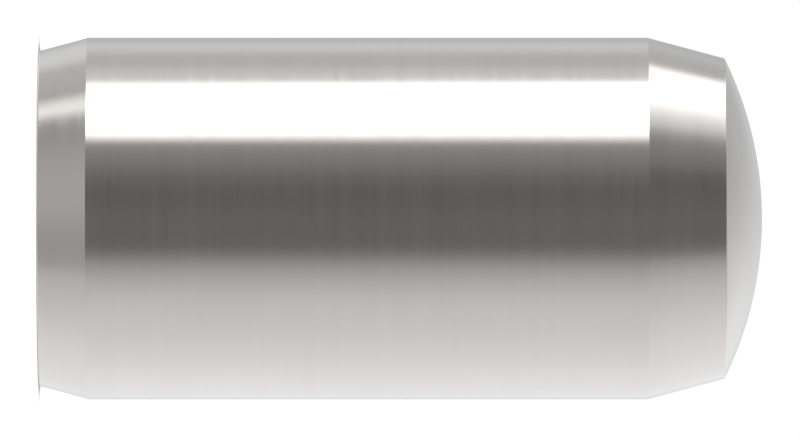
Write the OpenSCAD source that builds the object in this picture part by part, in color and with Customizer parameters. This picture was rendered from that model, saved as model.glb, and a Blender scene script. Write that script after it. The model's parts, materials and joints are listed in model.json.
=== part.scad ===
// Hardened and ground dowel pin: a solid steel cylinder that is pressed into one
// part and locates another. One end is flat with a short chamfer. The other is the
// lead end, with a longer taper and a domed crown that find the hole.
// The pin stands on its flat end, and its axis is the Z axis.

/* [Shank] */
// Nominal diameter of the ground shank
nominal_diameter = 12; // [4:0.5:17]
// What grinding leaves above the nominal diameter, which makes the press fit
press_oversize = 0.012; // [0:0.001:0.03]
// Length over all, from the flat end to the top of the crown
overall_length = 24; // [8:1:120]

/* [Flat end] */
// Length of the chamfer along the axis
chamfer_length = 1.6; // [0.4:0.1:6]
// Angle between the chamfer and the axis
chamfer_angle = 15; // [5:1:60]

/* [Lead end] */
// Length from the top of the shank to the top of the crown
lead_length = 3.8; // [2:0.1:12]
// Angle between the lead taper and the axis
lead_angle = 15; // [5:1:30]
// Radius of the crown
crown_radius = 12; // [7:0.5:60]

/* [Edges] */
// Radius that tumbling leaves on each turned edge
edge_radius = 0.05; // [0.02:0.01:0.3]

/* [Hidden] */

// Facets of a full circle in the preview
$fn = 180;
// How far the crown's cutter reaches past the outline
clear = 1;
// How far an edge's circle stands proud of the two faces that it rounds, so that it
// crosses each of them cleanly where it would only graze them
graze = 0.00002;

shank_radius = (nominal_diameter + press_oversize) / 2;
flat_radius = shank_radius - chamfer_length * tan(chamfer_angle);
shank_top = overall_length - lead_length;

// The half section lies in X (radius) and Y (height). The flat end is drawn from the
// pin's foot, and the lead end from the top of the shank.
// Each normal points straight out of its face.
flat_normal = [0, -1];
chamfer_normal = [cos(chamfer_angle), -sin(chamfer_angle)];
shank_normal = [1, 0];
taper_normal = [cos(lead_angle), sin(lead_angle)];

// Centre of the crown's sphere, seen from the top of the shank
crown_centre = [0, lead_length - crown_radius];

// Where a taper that starts at radius r, at the top of the shank, meets a sphere of
// radius R about the crown's centre
function taper_meets_crown(r, R) =
    let (
        slope = tan(lead_angle),
        a = 1 + slope * slope,
        b = crown_centre.y + r * slope,
        c = r * r + crown_centre.y * crown_centre.y - R * R,
        rise = (b + sqrt(b * b - a * c)) / a
    )
    [r - rise * slope, rise];

// Centre of the arc that rounds a corner between two straight faces
function arc_centre(corner, normal_a, normal_b) =
    corner - edge_radius * (normal_a + normal_b) / (1 + normal_a * normal_b);

crown_corner = taper_meets_crown(shank_radius, crown_radius);
crown_arc_centre = taper_meets_crown(
    shank_radius - edge_radius / cos(lead_angle),
    crown_radius - edge_radius
);
crown_normal = (crown_arc_centre - crown_centre) / norm(crown_arc_centre - crown_centre);

// Half section with a sharp corner at each change of direction. The taper runs on to
// the full height, where the crown is cut from it.
module sharp_section() {
    polygon([
        [0, 0],
        [flat_radius, 0],
        [shank_radius, chamfer_length],
        [shank_radius, shank_top],
        [shank_radius - lead_length * tan(lead_angle), overall_length],
        [0, overall_length],
    ]);
}

// What lies above the crown
module above_crown() {
    difference() {
        square([shank_radius + clear, lead_length + clear]);
        translate(crown_centre) circle(r = crown_radius);
    }
}

// What lies outside a corner's arc: a kite from the arc's centre, twice as long as
// the corner so that it reaches past it, less the circle
module outside_arc(corner, centre, normal_a, normal_b) {
    difference() {
        polygon([
            centre,
            centre + 2 * edge_radius * normal_a,
            centre + 2 * (corner - centre),
            centre + 2 * edge_radius * normal_b,
        ]);
        translate(centre) circle(r = edge_radius + graze);
    }
}

// What lies outside the arc between two straight faces
module outside_corner(corner, normal_a, normal_b) {
    outside_arc(corner, arc_centre(corner, normal_a, normal_b), normal_a, normal_b);
}

module pin_section() {
    difference() {
        sharp_section();
        outside_corner([flat_radius, 0], flat_normal, chamfer_normal);
        outside_corner([shank_radius, chamfer_length], chamfer_normal, shank_normal);
        translate([0, shank_top]) {
            outside_corner([shank_radius, 0], shank_normal, taper_normal);
            outside_arc(crown_corner, crown_arc_centre, taper_normal, crown_normal);
            above_crown();
        }
    }
}

module dowel_pin() {
    color("#b9b6b2") rotate_extrude() pin_section();
}

dowel_pin();
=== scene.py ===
# %% [markdown]
# # A hardened and ground dowel pin
# A dowel pin is one piece of steel. It is turned on a lathe, hardened, ground to size
# between two wheels, and tumbled so that its edges lose their burrs. This lesson makes it
# in much the same way: the outline is drawn once, its corners are rounded, it is turned
# about the axis, and each surface then gets the finish that its own tool leaves.
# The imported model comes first, because the sizes and places below are read from it.

# %% Load the frame
import json
import math

import bmesh
import bpy
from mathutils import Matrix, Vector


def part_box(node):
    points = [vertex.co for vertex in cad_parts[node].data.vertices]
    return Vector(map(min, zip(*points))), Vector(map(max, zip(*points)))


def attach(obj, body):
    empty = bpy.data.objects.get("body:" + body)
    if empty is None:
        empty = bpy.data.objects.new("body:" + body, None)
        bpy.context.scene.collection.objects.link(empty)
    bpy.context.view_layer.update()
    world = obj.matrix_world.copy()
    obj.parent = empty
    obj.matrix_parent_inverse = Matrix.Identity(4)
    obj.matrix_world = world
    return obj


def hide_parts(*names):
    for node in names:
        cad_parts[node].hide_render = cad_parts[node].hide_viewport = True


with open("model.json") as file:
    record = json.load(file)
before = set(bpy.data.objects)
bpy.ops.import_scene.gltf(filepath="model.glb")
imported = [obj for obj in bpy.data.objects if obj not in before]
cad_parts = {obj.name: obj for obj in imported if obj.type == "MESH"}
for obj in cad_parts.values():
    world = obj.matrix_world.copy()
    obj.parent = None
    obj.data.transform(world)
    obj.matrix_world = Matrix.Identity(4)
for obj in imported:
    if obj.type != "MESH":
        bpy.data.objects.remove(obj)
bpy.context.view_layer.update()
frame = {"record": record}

# %% [markdown]
# ## The sizes
# A turned part needs few sizes: its length, the radius of its shank, where the shank
# starts and stops, and how each end is cut back. The frame gives the first four, and the
# rest are the angles and radii that the CAD model was drawn with.
# The outline is worked out in millimetres. Blender's tools work to fixed tolerances that
# suit a model a few units long, so the pin is made at a unit for each millimetre and is
# brought down to its real size at the end.

# %% Work out the outline in millimetres
METRES = 0.001
TAPER = math.radians(15)
CROWN_RADIUS = 12
EDGE_RADIUS = 0.05

low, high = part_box("dowel_pin")
shank = next(mount for mount in frame["record"]["mounts"] if mount["name"] == "shank")
overall_length = (high.z - low.z) / METRES
shank_radius = shank["dims"]["r_mm"]
shank_foot = shank["pos_m"][2] / METRES - shank["dims"]["length_mm"] / 2
shank_top = shank["pos_m"][2] / METRES + shank["dims"]["length_mm"] / 2
flat_radius = shank_radius - shank_foot * math.tan(TAPER)
print(f"length {overall_length:.3f}, shank radius {shank_radius:.3f}, "
      f"from {shank_foot:.2f} to {shank_top:.2f}, flat end's radius {flat_radius:.3f}")

# %% [markdown]
# ## Where the taper meets the crown
# The lead end has a straight taper and then a shallow dome, so that the pin finds its
# hole and slides in. The dome is part of a sphere. The two meet where a point on the
# taper's line is one crown radius from the sphere's centre, which is a quadratic in the
# height above the shank.

# %% Solve for the crown's corner
crown_centre = overall_length - CROWN_RADIUS
slope = math.tan(TAPER)
drop = shank_top - crown_centre
a = 1 + slope ** 2
b = drop - shank_radius * slope
c = shank_radius ** 2 + drop ** 2 - CROWN_RADIUS ** 2
rise = (-b + math.sqrt(b * b - a * c)) / a
corner_height = shank_top + rise
corner_radius = shank_radius - rise * slope
crown_angle = math.asin(corner_radius / CROWN_RADIUS)
print(f"crown's corner at height {corner_height:.3f}, radius {corner_radius:.3f}, "
      f"{math.degrees(crown_angle):.1f} degrees from the axis")

# %% [markdown]
# ## One point to start from
# An outline is easiest to draw as a chain of points, each one extruded from the last.
# Blender adds ready shapes rather than single points, so a plane is added and merged into
# one point, which is then moved to the top of the crown.

# %% Add the first point
bpy.ops.object.select_all(action="DESELECT")
bpy.ops.mesh.primitive_plane_add(size=1, calc_uvs=False, location=(0, 0, 0))
pin = bpy.context.object
pin.name = pin.data.name = "turned_pin"
bpy.ops.object.mode_set(mode="EDIT")
bpy.ops.mesh.select_mode(type="VERT")
bpy.ops.mesh.select_all(action="SELECT")
bpy.ops.mesh.merge(type="CENTER")
bpy.ops.transform.translate(value=(0, 0, overall_length))

# %% [markdown]
# ## The crown
# On the lathe the crown is cut by a tool that swings about the sphere's centre. Spin does
# the same with the point: it swings it about that centre and leaves an arc behind.

# %% Spin the arc of the crown
CROWN_STEPS = 24
bpy.ops.mesh.spin(
    steps=CROWN_STEPS,
    angle=crown_angle,
    center=(0, 0, crown_centre),
    axis=(0, -1, 0),
)
end = [v.co for v in bmesh.from_edit_mesh(pin.data).verts if v.select]
print("the arc ends at", [tuple(round(x, 3) for x in co) for co in end])

# %% [markdown]
# ## The straight stretches
# From the crown's corner the outline runs down the taper, down the shank, in along the
# chamfer, and across the flat end to the axis. Each stretch is one extrusion.

# %% Extrude the taper, shank, chamfer and flat end
corners = [
    (corner_radius, corner_height),
    (shank_radius, shank_top),
    (shank_radius, shank_foot),
    (flat_radius, 0),
    (0, 0),
]
for start, stop in zip(corners, corners[1:]):
    move = (stop[0] - start[0], 0, stop[1] - start[1])
    bpy.ops.mesh.extrude_region_move(TRANSFORM_OT_translate={"value": move})
print("points in the outline:", len(bmesh.from_edit_mesh(pin.data).verts))

# %% [markdown]
# ## Picking by place
# Further on, points and edges of the outline are picked by where they lie. A small helper
# goes through the mesh in edit mode and selects those whose middle is close to a place,
# which is given as a radius and a height.

# %% A helper that selects by place
def select_near(obj, kind, radius, height, reach):
    """Select the mesh's points or edges whose middle is this close, and count them."""
    bpy.ops.mesh.select_mode(type=kind)
    bpy.ops.mesh.select_all(action="DESELECT")
    mesh = bmesh.from_edit_mesh(obj.data)
    picked = 0
    for element in {"VERT": mesh.verts, "EDGE": mesh.edges}[kind]:
        points = [element] if kind == "VERT" else element.verts
        x = sum(point.co.x for point in points) / len(points)
        z = sum(point.co.z for point in points) / len(points)
        if math.hypot(x - radius, z - height) < reach:
            element.select_set(True)
            picked += 1
    bmesh.update_edit_mesh(obj.data)
    return picked


# %% [markdown]
# ## The tumbled edges
# The pins are tumbled with abrasive stones, which takes the sharpness off each corner. A
# bevel of points rounds a drawn outline in the same way. An arc of radius r in a corner
# that turns by an angle starts r times the tangent of half that angle from the corner,
# and that length is the bevel's offset. The corner on the axis stays as it is.

# %% Round the outline's corners
EDGE_STEPS = 5
crown_slope = math.pi / 2 - crown_angle
turns = {
    corners[0]: crown_slope - TAPER,
    corners[1]: TAPER,
    corners[2]: TAPER,
    corners[3]: math.pi / 2 - TAPER,
}
for (radius, height), turn in turns.items():
    picked = select_near(pin, "VERT", radius, height, reach=EDGE_RADIUS / 10)
    bpy.ops.mesh.bevel(
        offset=EDGE_RADIUS * math.tan(turn / 2),
        segments=EDGE_STEPS,
        affect="VERTICES",
    )
    print(f"rounded {picked} corner that turns {math.degrees(turn):.1f} degrees")

# %% [markdown]
# ## Rings between the corners
# Long thin faces shade and bake badly, so each straight stretch is cut into shorter ones
# before the outline is turned. The flat end needs rings most of all, or every face there
# would be a needle that reaches the axis.
# A stretch is picked by its middle, halfway between its corners. The rounding has moved
# that by less than an edge's radius.

# %% Subdivide the straight stretches
CUTS = {"taper": 2, "shank": 14, "chamfer": 1, "flat end": 7}
for (name, cuts), start, stop in zip(CUTS.items(), corners, corners[1:]):
    middle = [(a + b) / 2 for a, b in zip(start, stop)]
    picked = select_near(pin, "EDGE", *middle, reach=EDGE_RADIUS)
    bpy.ops.mesh.subdivide(number_cuts=cuts)
    print(f"{name}: {picked} edge cut {cuts} times")

# %% [markdown]
# ## Turning the pin
# Spin sweeps the outline round the axis, as a lathe would. The last step lands on the
# first and the points on the axis pile up, so what lies in one place is merged. A spin
# can also leave the surface inside out, so its normals are turned outwards afterwards.

# %% Spin the outline about the axis
AROUND = 192
MERGE_WITHIN = 0.0005
bpy.ops.mesh.select_mode(type="VERT")
bpy.ops.mesh.select_all(action="SELECT")
bpy.ops.mesh.spin(steps=AROUND, angle=math.tau, center=(0, 0, 0), axis=(0, 0, 1))
bpy.ops.mesh.select_all(action="SELECT")
bpy.ops.mesh.remove_doubles(threshold=MERGE_WITHIN)
bpy.ops.mesh.normals_make_consistent(inside=False)
turned = bmesh.from_edit_mesh(pin.data)
open_edges = sum(not edge.is_manifold for edge in turned.edges)
print(f"{len(turned.faces)} faces, {open_edges} open edges, "
      f"volume {turned.calc_volume(signed=True):.2f} cubic millimetres")

# %% [markdown]
# ## Smooth shading
# Smooth shading blends the normals of the faces round each point, so the shank would seem
# to bend at its ends. Weighted normals take each point's normal from the largest faces
# that meet there, and the shank and the tapers shade as true cylinders and cones right up
# to their rounded edges. The modifier passes over faces as small as these are in metres,
# so it is applied while a unit is still a millimetre.

# %% Shade the pin
bpy.ops.object.mode_set(mode="OBJECT")
bpy.ops.object.shade_smooth()
bpy.ops.object.modifier_add(type="WEIGHTED_NORMAL")
pin.modifiers["WeightedNormal"].weight = 100
bpy.ops.object.modifier_apply(modifier="WeightedNormal")

# %% [markdown]
# ## Real size
# The object is scaled down to metres, and the scale is applied, which puts it into the
# mesh. Resizing the points in edit mode would round each place to about a thousandth of a
# millimetre, and that is enough to ruffle the tumbled edges.

# %% Bring the pin to its real size
pin.scale = (METRES, METRES, METRES)
bpy.ops.object.transform_apply(location=False, rotation=False, scale=True)
print("pin's size in millimetres:", [round(d / METRES, 3) for d in pin.dimensions])

# %% [markdown]
# ## Colours and nodes
# Colours are written as the hex values that a colour picker shows, and one function turns
# them to the linear values that the shader works in. A second small function adds a node,
# sets it up and links it, so that a material reads as a list of steps.

# %% Helpers for materials
def linear(hex_colour):
    """The linear colour, with alpha, of an sRGB hex value."""
    values = [int(hex_colour[i:i + 2], 16) / 255 for i in (1, 3, 5)]
    return [v / 12.92 if v <= 0.04045 else ((v + 0.055) / 1.055) ** 2.4 for v in values] + [1]


def add_node(tree, kind, inputs=None, **settings):
    """Add a node, set its properties, and fill its inputs with values or links."""
    made = tree.nodes.new(kind)
    for name, value in settings.items():
        setattr(made, name, value)
    for name, value in (inputs or {}).items():
        if isinstance(value, bpy.types.NodeSocket):
            tree.links.new(value, made.inputs[name])
        else:
            made.inputs[name].default_value = value
    return made


# %% [markdown]
# ## Hardened steel
# The pin is one steel, so its surfaces share their colour, and only the marks of the last
# tool differ. All of those tools work round the axis, so every surface has its lay, the
# run of its fine scratches, in circles about it. A noise that is stretched round the axis
# and squeezed across it draws such a lay. On the shank and the tapers it is squeezed along
# the height, and on the ends along the radius. Its broadest bands are a few tenths of a
# millimetre wide, and each of its four finer layers has bands half as wide as the last.
# Steel that is rough across its lay and smooth along it blurs a reflection one way only,
# which is what the anisotropy does: streaks that run along the pin stay sharp.
# Steel is a warm grey when it is seen square on, and loses its warmth at a glancing angle.
# The specular tint colours a metal at such angles only. A very faint film, in patches a
# few millimetres across, keeps the colour from being the same all over.

# %% One steel, with the lay of a given tool
STEEL = "#d2cecb"
GLANCING_TINT = "#fafdff"
PER_MM = 1 / METRES
ALONG_LAY = 0.08  # per mm, so a mark runs on for some 12 mm before it changes
FILM_PER_MM = 0.3
MARKS_TINT = 0.014  # the marks lighten and darken the steel by up to this share
FILM_TINT = 0.01  # and the film by up to this one
NOISE_LOW, NOISE_HIGH = 0.3, 0.7  # nearly all of a noise's values lie between these


def machined_steel(name, across, band, depth, roughness, spread):
    """Steel with a lay across "Z" or "RADIUS", whose bands are this wide and deep in mm."""
    material = bpy.data.materials.new(name)
    material.use_nodes = True
    tree = material.node_tree
    tree.nodes.clear()

    def spread_out(noise, about, by):
        """The noise's values, spread out about a number by up to another."""
        return add_node(tree, "ShaderNodeMapRange", {
            "Value": noise.outputs["Fac"], "From Min": NOISE_LOW, "From Max": NOISE_HIGH,
            "To Min": about - by, "To Max": about + by}).outputs["Result"]

    place = add_node(tree, "ShaderNodeTexCoord").outputs["Object"]
    mm = add_node(tree, "ShaderNodeVectorMath", {0: place, "Scale": PER_MM}, operation="SCALE")
    xyz = add_node(tree, "ShaderNodeSeparateXYZ", {0: mm.outputs["Vector"]}).outputs
    flat = add_node(tree, "ShaderNodeCombineXYZ", {"X": xyz["X"], "Y": xyz["Y"]})
    radius = add_node(tree, "ShaderNodeVectorMath", {0: flat.outputs[0]}, operation="LENGTH")
    runs = {"Z": xyz["Z"], "RADIUS": radius.outputs["Value"]}
    lay = add_node(tree, "ShaderNodeCombineXYZ", {"X": xyz["X"], "Y": xyz["Y"], "Z": runs[across]})
    squeezed = add_node(tree, "ShaderNodeMapping", {
        "Vector": lay.outputs[0], "Scale": (ALONG_LAY, ALONG_LAY, 1 / band)})
    marks = add_node(tree, "ShaderNodeTexNoise", {
        "Vector": squeezed.outputs[0], "Scale": 1, "Detail": 4, "Roughness": 0.7})
    film = add_node(tree, "ShaderNodeTexNoise", {
        "Vector": mm.outputs["Vector"], "Scale": FILM_PER_MM, "Detail": 2})
    tint = add_node(tree, "ShaderNodeMath", {
        0: spread_out(marks, 1, MARKS_TINT), 1: spread_out(film, 1, FILM_TINT)},
        operation="MULTIPLY")
    colour = add_node(tree, "ShaderNodeVectorMath", {
        0: linear(STEEL)[:3], "Scale": tint.outputs[0]}, operation="SCALE")
    bump = add_node(tree, "ShaderNodeBump", {
        "Height": marks.outputs["Fac"], "Strength": 1, "Distance": depth * METRES})
    around = add_node(tree, "ShaderNodeTangent", direction_type="RADIAL", axis="Z")
    steel = add_node(tree, "ShaderNodeBsdfPrincipled", {
        "Base Color": colour.outputs["Vector"], "Specular Tint": linear(GLANCING_TINT),
        "Metallic": 1, "Roughness": spread_out(marks, roughness, spread),
        "Anisotropic": 0.75, "Anisotropic Rotation": 0.25,
        "Normal": bump.outputs[0], "Tangent": around.outputs[0]})
    add_node(tree, "ShaderNodeOutputMaterial", {"Surface": steel.outputs[0]})
    return material


# %% [markdown]
# ## The four finishes
# The shank is ground between wheels, which leaves the finest marks. The chamfer and the
# taper were turned before that and are a little coarser. The ends were faced with a tool
# that moved across the axis. The tumbling wore nearly all the marks off the edges.
# The closest marks on real pins are about a hundredth of a millimetre apart, finer than a
# picture can show. The noise's finest layer here is two to three times as coarse.

# %% Make the four finishes
ground = machined_steel("centreless_ground_steel", "Z", 0.32, 0.00024, 0.15, 0.03)
turned_steel = machined_steel("turned_steel", "Z", 0.4, 0.0004, 0.15, 0.03)
faced = machined_steel("faced_steel", "RADIUS", 0.4, 0.0004, 0.15, 0.03)
tumbled = machined_steel("tumbled_edge_steel", "Z", 0.4, 0.0001, 0.16, 0.02)
finishes = [ground, turned_steel, faced, tumbled]

# %% [markdown]
# ## Which finish goes where
# A face belongs to the surface that it lies on, and its height and radius say which that
# is. The rounded edges lie within a narrow band at each corner.

# %% Give each face its finish
for finish in finishes:
    pin.data.materials.append(finish)
counts = {finish.name: 0 for finish in finishes}
edge_reach = {corner: EDGE_RADIUS * math.tan(turn / 2) for corner, turn in turns.items()}
for face in pin.data.polygons:
    height = face.center.z / METRES
    radius = math.hypot(face.center.x, face.center.y) / METRES
    on_edge = any(
        math.hypot(radius - r, height - z) < reach for (r, z), reach in edge_reach.items()
    )
    if on_edge:
        face.material_index = finishes.index(tumbled)
    elif height < EDGE_RADIUS / 10 or height > corner_height:
        face.material_index = finishes.index(faced)
    elif shank_foot < height < shank_top:
        face.material_index = finishes.index(ground)
    else:
        face.material_index = finishes.index(turned_steel)
    counts[finishes[face.material_index].name] += 1
print(counts)

# %% [markdown]
# ## Into the frame
# The pin takes the CAD node's place in every picture, and moves with its body.

# %% Tie the pin to the frame
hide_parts("dowel_pin")
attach(pin, "root")

# %% [markdown]
# ## The floor
# A matt white disc carries the pin, a hundredth of a millimetre below it so that the two
# faces don't flicker. It is left out of reflections, because the studio below has its own
# floor, which the steel mirrors instead.

# %% Lay the floor
FLOOR_RADIUS = 0.1
FLOOR_GAP = 0.01 * METRES
bpy.ops.object.select_all(action="DESELECT")
bpy.ops.mesh.primitive_circle_add(
    vertices=96, radius=FLOOR_RADIUS, fill_type="NGON", location=(0, 0, low.z - FLOOR_GAP)
)
floor = bpy.context.object
floor.name = floor.data.name = "studio_floor"
floor.visible_glossy = False
matt_white = bpy.data.materials.new("matt_white_board")
matt_white.use_nodes = True
board = matt_white.node_tree.nodes["Principled BSDF"]
board.inputs["Base Color"].default_value = linear("#f4f4f3")
board.inputs["Roughness"].default_value = 0.9
board.inputs["Specular IOR Level"].default_value = 0.1
floor.data.materials.append(matt_white)
print(f"{floor.name}: a disc {2 * FLOOR_RADIUS:.1f} m across")

# %% [markdown]
# ## The studio
# Bright steel has hardly any look of its own: the eye sees the room in it. So the light
# is a room, written as one brightness for each direction. Azimuth 0 is the side that the
# camera is on, and it grows towards -X. Three rings of walls are drawn as curves of
# brightness over azimuth: one is level with the pin, one is lower down, where the floor
# would be, and one is higher up. They melt into each other, and the highest melts into an
# even ceiling. Each curve runs from 0 to 1 both ways, so the azimuth is brought down to a
# share of the circle, and the brightness to a share of the brightest wall.
# The room is a chain of small sums, and three helpers keep those short.

# %% An empty room and three helpers
world = bpy.data.worlds.new("soft_studio")
bpy.context.scene.world = world
world.use_nodes = True
room = world.node_tree
room.nodes.clear()


def maths(operation, *values):
    """A number that a math node works out from up to three others."""
    return add_node(
        room, "ShaderNodeMath", dict(enumerate(values)), operation=operation).outputs[0]


def ease(value, start, stop):
    """A number that goes smoothly from 0 to 1 while the value goes from start to stop."""
    return add_node(room, "ShaderNodeMapRange", {
        "Value": value, "From Min": start, "From Max": stop},
        interpolation_type="SMOOTHSTEP").outputs["Result"]


def blend(share, first, second):
    """The first number where the share is 0, the second where it is 1."""
    return add_node(room, "ShaderNodeMix", {
        0: share, "A": first, "B": second}, data_type="FLOAT").outputs[0]


# %% Direction as azimuth and elevation
direction = add_node(room, "ShaderNodeTexCoord").outputs["Generated"]
part = add_node(room, "ShaderNodeSeparateXYZ", {0: direction}).outputs
back_x = maths("MULTIPLY", part["X"], -1)
back_y = maths("MULTIPLY", part["Y"], -1)
azimuth = maths("DEGREES", maths("ARCTAN2", back_x, back_y))
elevation = maths("DEGREES", maths("ARCSINE", part["Z"]))

# %% The rings of walls
WALL_TOP = 1.25
walls = {
    "level": [
        (-180, 0.70), (-174, 0.78), (-166, 0.90), (-158, 1.07), (-146, 1.13), (-128, 1.13),
        (-105, 1.03), (-80, 0.90), (-55, 0.78), (-42, 0.64), (-30, 0.44), (-22, 0.26),
        (-15, 0.18), (0, 0.17), (14, 0.15), (24, 0.18), (34, 0.26), (44, 0.34), (48, 0.40),
        (70, 0.60), (100, 0.82), (110, 0.76), (122, 0.65), (142, 0.81), (151, 0.73),
        (160, 0.60), (171, 0.55), (180, 0.70),
    ],
    "below": [
        (-180, 0.86), (-165, 0.90), (-145, 1.06), (-110, 1.04), (-75, 0.86), (-45, 0.68),
        (-38, 0.60), (-28, 0.47), (-14, 0.46), (0, 0.52), (22, 0.56), (48, 0.50),
        (66, 0.43), (80, 0.45), (100, 0.58), (114, 0.63), (124, 0.78), (136, 1.08),
        (147, 1.02), (160, 1.25), (180, 0.86),
    ],
    "above": [
        (-180, 0.79), (-176, 0.89), (-169, 1.08), (-160, 1.14), (-146, 1.15), (-110, 1.06),
        (-80, 0.92), (-55, 0.75), (-42, 0.62), (-30, 0.41), (-20, 0.20), (-10, 0.16),
        (0, 0.16), (26, 0.15), (40, 0.24), (54, 0.33), (60, 0.44), (65, 0.62), (71, 0.80),
        (82, 0.77), (108, 0.76), (126, 0.65), (142, 0.57), (160, 0.58), (171, 0.62),
        (176, 0.71), (180, 0.79),
    ],
}
share_round = maths("MULTIPLY_ADD", azimuth, 1 / 360, 0.5)
rings = {}
for name, stops in walls.items():
    curve = add_node(room, "ShaderNodeFloatCurve", {"Value": share_round})
    points = curve.mapping.curves[0].points
    for angle, level in stops[1:-1]:
        points.new(angle / 360 + 0.5, level / WALL_TOP)
    points[0].location = (0, stops[0][1] / WALL_TOP)
    points[-1].location = (1, stops[-1][1] / WALL_TOP)
    curve.mapping.update()
    rings[name] = maths("MULTIPLY", curve.outputs[0], WALL_TOP)

# %% Join the rings and the ceiling
CEILING = 0.6
surround = blend(ease(elevation, -1, -25), rings["level"], rings["below"])
surround = blend(ease(elevation, 0, 18), surround, rings["above"])
surround = blend(ease(elevation, 28, 70), surround, CEILING)
print("stops round each ring:", {name: len(stops) for name, stops in walls.items()})

# %% [markdown]
# ## The main lamp
# One tall soft panel stands at the side. It gives the broad white streak. Its near edge
# bows away above and below the middle and grows softer there, its far edge leans, and the
# panel fades out towards the floor and the ceiling. An edge's place and its softness are
# both in degrees, and both change with elevation.

# %% The panel's edges
BOW_FROM = 24
bow_share = maths("POWER", maths("DIVIDE", elevation, BOW_FROM), 2)


def bent(middle, lean, bow):
    """Degrees that change with elevation: how many at the middle, a lean and a bow."""
    return maths("MULTIPLY_ADD", bow_share, bow, maths("MULTIPLY_ADD", elevation, lean, middle))


near_edge, near_softness = bent(52.4, 0.142, 26.7), bent(5.5, 0.3, 8)
far_edge, far_softness = bent(97.2, 0.905, 12.3), bent(3, 0.108, 9.8)

# %% The panel's light
LAMP = 2.2
past_near = ease(
    azimuth, maths("SUBTRACT", near_edge, near_softness), maths("ADD", near_edge, near_softness))
past_far = ease(
    azimuth, maths("SUBTRACT", far_edge, far_softness), maths("ADD", far_edge, far_softness))
above_floor = ease(elevation, -38.5, -11)
near_ceiling = ease(elevation, 24, 40)
panel = maths("MULTIPLY", past_near, maths("SUBTRACT", 1, past_far))
panel = maths("MULTIPLY", panel, above_floor)
panel = maths("MULTIPLY", panel, maths("SUBTRACT", 1, near_ceiling))
mirrored = blend(panel, surround, LAMP)

# %% [markdown]
# ## Three uses of one room
# The steel mirrors the room. The floor needs only a faint even light from it, and the
# camera looks past the pin at plain white. The light path says which ray is asking.

# %% Light the room
FILL = 0.4
BACKDROP = 1
asks = add_node(room, "ShaderNodeLightPath").outputs
lit = blend(asks["Is Diffuse Ray"], mirrored, FILL)
seen = blend(asks["Is Camera Ray"], lit, BACKDROP)
light = add_node(room, "ShaderNodeBackground", {"Color": (1, 1, 1, 1), "Strength": seen})
add_node(room, "ShaderNodeOutputWorld", {"Surface": light.outputs[0]})
bpy.context.scene.view_settings.view_transform = "Standard"
print("the room is drawn by", len(room.nodes), "nodes")

# %% [markdown]
# ## The lamp over the floor
# A wide soft lamp straight overhead makes the floor white, and leaves only a narrow soft
# shadow round the pin's foot. It is a sun with a wide disc, so it is as bright far out as
# it is under the pin. The steel doesn't mirror it.

# %% Hang the overhead lamp
overhead_data = bpy.data.lights.new("overhead_lamp", "SUN")
overhead_data.energy = 3.9
overhead_data.angle = math.radians(32)
overhead = bpy.data.objects.new("overhead_lamp", overhead_data)
overhead.visible_glossy = False
bpy.context.scene.collection.objects.link(overhead)

# %% [markdown]
# ## The camera
# The pin is looked at square on, from the side, with its axis across the picture: the
# camera is level with the middle of the pin and lies on its side. A very long lens from
# well back keeps the round edges of the ends almost straight, as in a drawing. The flat
# end's edge still bows out a little and the crown's tip doesn't, so the camera sits a hair
# nearer to the flat end, which centres the outline.

# %% Place the camera
LENS = 0.9
SENSOR = 0.036
FRAMED_WIDTH = 26.58 * METRES
ASIDE = 0.025 * METRES
camera_data = bpy.data.cameras.new("camera")
camera = bpy.data.objects.new("camera", camera_data)
bpy.context.scene.collection.objects.link(camera)
bpy.context.scene.camera = camera
camera_data.lens = LENS / METRES
camera_data.sensor_width = SENSOR / METRES
distance = FRAMED_WIDTH * LENS / SENSOR
camera.location = (0, -distance, (low.z + high.z) / 2 - ASIDE)
camera.rotation_euler = (math.radians(90), math.radians(-90), 0)
print(f"camera {distance:.3f} m from the axis")
